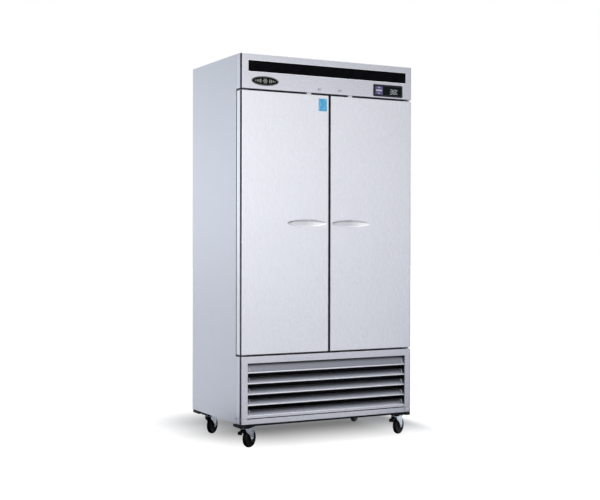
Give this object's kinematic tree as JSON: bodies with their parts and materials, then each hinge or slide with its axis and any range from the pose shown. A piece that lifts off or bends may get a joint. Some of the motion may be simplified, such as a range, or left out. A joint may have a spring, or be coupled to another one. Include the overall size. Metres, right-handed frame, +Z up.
{
  "type": "reach-in refrigerator",
  "caption": "Upright two-door stainless reach-in refrigerator with recessed pulls, black fascia strip, louvred lower grille, inner shelves and swivel casters.",
  "frame": {"origin": "on the floor, under the middle of the cabinet", "axes": "+Z up, -Y the way the doors face, +X to the right of someone facing the doors"},
  "size_m": [1.055, 0.72, 2.09],
  "materials": {
    "outer_steel": "satin brushed stainless steel",
    "back_sheet": "dull galvanised sheet",
    "foam": "rigid foam",
    "liner_steel": "fine satin",
    "frame_plastic": "dark satin plastic",
    "gasket_rubber": "soft matt",
    "pull_steel": "bright satin",
    "strip_black": "high gloss",
    "badge_enamel": "glossy enamel with a pale rim",
    "controller_plastic": "fine satin",
    "display_lens": "clear gloss over a lit display",
    "key_plastic": "soft satin",
    "lock_chrome": "polished",
    "hinge_steel": "polished",
    "base_paint": "satin black",
    "coil_aluminium": "mill finish fins",
    "compressor_paint": "semi-gloss black",
    "fan_plastic": "satin",
    "pan_plastic": "satin white",
    "gland_plastic": "satin",
    "housing_plastic": "satin white",
    "light_diffuser": "frosted",
    "shelf_coat": "smooth epoxy coat",
    "caster_zinc": "bright zinc plate",
    "wheel_rubber": "matt tread",
    "pedal_plastic": "satin"
  },
  "bodies": {
    "cabinet": {"left_side_panel": "outer_steel", "right_side_panel": "outer_steel", "top_panel": "outer_steel", "back_panel": "back_sheet", "insulation_foam": "foam", "interior_liner": "liner_steel", "door_frame": "frame_plastic", "fascia_panel": "outer_steel", "fascia_strip": "strip_black", "badge_plate": "badge_enamel", "controller_bezel": "controller_plastic", "controller_display": "display_lens", "lower_grille": "outer_steel", "base_frame": "base_paint", "condenser_coil": "coil_aluminium", "fan_shroud": "base_paint", "compressor": "compressor_paint", "drain_pan": "pan_plastic", "rear_grille": "back_sheet", "power_gland": "gland_plastic", "evaporator_cover": "housing_plastic", "evaporator_coil": "coil_aluminium", "interior_light": "light_diffuser", "left_lower_shelf": "shelf_coat", "left_middle_shelf": "shelf_coat", "left_upper_shelf": "shelf_coat", "right_lower_shelf": "shelf_coat", "right_middle_shelf": "shelf_coat", "right_upper_shelf": "shelf_coat", "left_upper_hinge": "hinge_steel", "left_lower_hinge": "hinge_steel", "right_upper_hinge": "hinge_steel", "right_lower_hinge": "hinge_steel"},
    "left_door": {"left_door_skin": "outer_steel", "left_door_core": "liner_steel", "left_door_pull": "pull_steel", "left_door_gasket": "gasket_rubber"},
    "right_door": {"right_door_skin": "outer_steel", "right_door_core": "liner_steel", "right_door_pull": "pull_steel", "right_door_gasket": "gasket_rubber"},
    "left_lock": {"left_lock_cylinder": "lock_chrome"},
    "right_lock": {"right_lock_cylinder": "lock_chrome"},
    "upper_key": {"upper_key": "key_plastic"},
    "middle_key": {"middle_key": "key_plastic"},
    "lower_key": {"lower_key": "key_plastic"},
    "condenser_fan": {"condenser_fan": "fan_plastic"},
    "left_evaporator_fan": {"left_evaporator_fan": "fan_plastic"},
    "right_evaporator_fan": {"right_evaporator_fan": "fan_plastic"},
    "front_left_caster": {"front_left_caster_fork": "caster_zinc"},
    "front_left_wheel": {"front_left_caster_wheel": "wheel_rubber"},
    "front_left_brake": {"front_left_brake_pedal": "pedal_plastic"},
    "front_right_caster": {"front_right_caster_fork": "caster_zinc"},
    "front_right_wheel": {"front_right_caster_wheel": "wheel_rubber"},
    "front_right_brake": {"front_right_brake_pedal": "pedal_plastic"},
    "rear_left_caster": {"rear_left_caster_fork": "caster_zinc"},
    "rear_left_wheel": {"rear_left_caster_wheel": "wheel_rubber"},
    "rear_right_caster": {"rear_right_caster_fork": "caster_zinc"},
    "rear_right_wheel": {"rear_right_caster_wheel": "wheel_rubber"}
  },
  "joints": [
    {"name": "left_door_hinge", "type": "hinge", "parent": "cabinet", "child": "left_door", "pos_m": [-0.502, -0.3345, 0], "axis": [0, 0, -1], "range_deg": [0, 110]},
    {"name": "right_door_hinge", "type": "hinge", "parent": "cabinet", "child": "right_door", "pos_m": [0.502, -0.3345, 0], "axis": [0, 0, 1], "range_deg": [0, 110]},
    {"name": "left_lock_turn", "type": "hinge", "parent": "cabinet", "child": "left_lock", "pos_m": [-0.062, -0.3575, 1.928], "axis": [0, 1, 0], "range_deg": [0, 90]},
    {"name": "right_lock_turn", "type": "hinge", "parent": "cabinet", "child": "right_lock", "pos_m": [0.062, -0.3575, 1.928], "axis": [0, 1, 0], "range_deg": [0, 90]},
    {"name": "upper_key_press", "type": "slide", "parent": "cabinet", "child": "upper_key", "axis": [0, 1, 0], "range_m": [0, 0.0012], "stiffness_N_per_m": 300},
    {"name": "middle_key_press", "type": "slide", "parent": "cabinet", "child": "middle_key", "axis": [0, 1, 0], "range_m": [0, 0.0012], "stiffness_N_per_m": 300},
    {"name": "lower_key_press", "type": "slide", "parent": "cabinet", "child": "lower_key", "axis": [0, 1, 0], "range_m": [0, 0.0012], "stiffness_N_per_m": 300},
    {"name": "condenser_fan_spin", "type": "hinge", "parent": "cabinet", "child": "condenser_fan", "pos_m": [-0.12, -0.2113, 0.3], "axis": [0, 1, 0], "continuous": true},
    {"name": "left_evaporator_fan_spin", "type": "hinge", "parent": "cabinet", "child": "left_evaporator_fan", "pos_m": [-0.185, 0.147, 1.815], "axis": [0, 1, 0], "continuous": true},
    {"name": "right_evaporator_fan_spin", "type": "hinge", "parent": "cabinet", "child": "right_evaporator_fan", "pos_m": [0.185, 0.147, 1.815], "axis": [0, 1, 0], "continuous": true},
    {"name": "front_left_swivel", "type": "hinge", "parent": "cabinet", "child": "front_left_caster", "pos_m": [-0.46, -0.284, 0], "axis": [0, 0, 1], "continuous": true},
    {"name": "front_left_wheel_spin", "type": "hinge", "parent": "front_left_caster", "child": "front_left_wheel", "pos_m": [-0.43032, -0.26545, 0.05], "axis": [-0.5299, 0.848, 0], "continuous": true},
    {"name": "front_left_brake_release", "type": "hinge", "parent": "front_left_caster", "child": "front_left_brake", "pos_m": [-0.47357, -0.29248, 0.096], "axis": [-0.5299, 0.848, 0], "range_deg": [0, 18]},
    {"name": "front_right_swivel", "type": "hinge", "parent": "cabinet", "child": "front_right_caster", "pos_m": [0.46, -0.284, 0], "axis": [0, 0, 1], "continuous": true},
    {"name": "front_right_wheel_spin", "type": "hinge", "parent": "front_right_caster", "child": "front_right_wheel", "pos_m": [0.48968, -0.26545, 0.05], "axis": [-0.5299, 0.848, 0], "continuous": true},
    {"name": "front_right_brake_release", "type": "hinge", "parent": "front_right_caster", "child": "front_right_brake", "pos_m": [0.44643, -0.29248, 0.096], "axis": [-0.5299, 0.848, 0], "range_deg": [0, 18]},
    {"name": "rear_left_swivel", "type": "hinge", "parent": "cabinet", "child": "rear_left_caster", "pos_m": [-0.46, 0.245, 0], "axis": [0, 0, 1], "continuous": true},
    {"name": "rear_left_wheel_spin", "type": "hinge", "parent": "rear_left_caster", "child": "rear_left_wheel", "pos_m": [-0.43399, 0.26842, 0.05], "axis": [-0.6691, 0.7431, 0], "continuous": true},
    {"name": "rear_right_swivel", "type": "hinge", "parent": "cabinet", "child": "rear_right_caster", "pos_m": [0.46, 0.245, 0], "axis": [0, 0, 1], "continuous": true},
    {"name": "rear_right_wheel_spin", "type": "hinge", "parent": "rear_right_caster", "child": "rear_right_wheel", "pos_m": [0.48601, 0.26842, 0.05], "axis": [-0.6691, 0.7431, 0], "continuous": true}
  ]
}
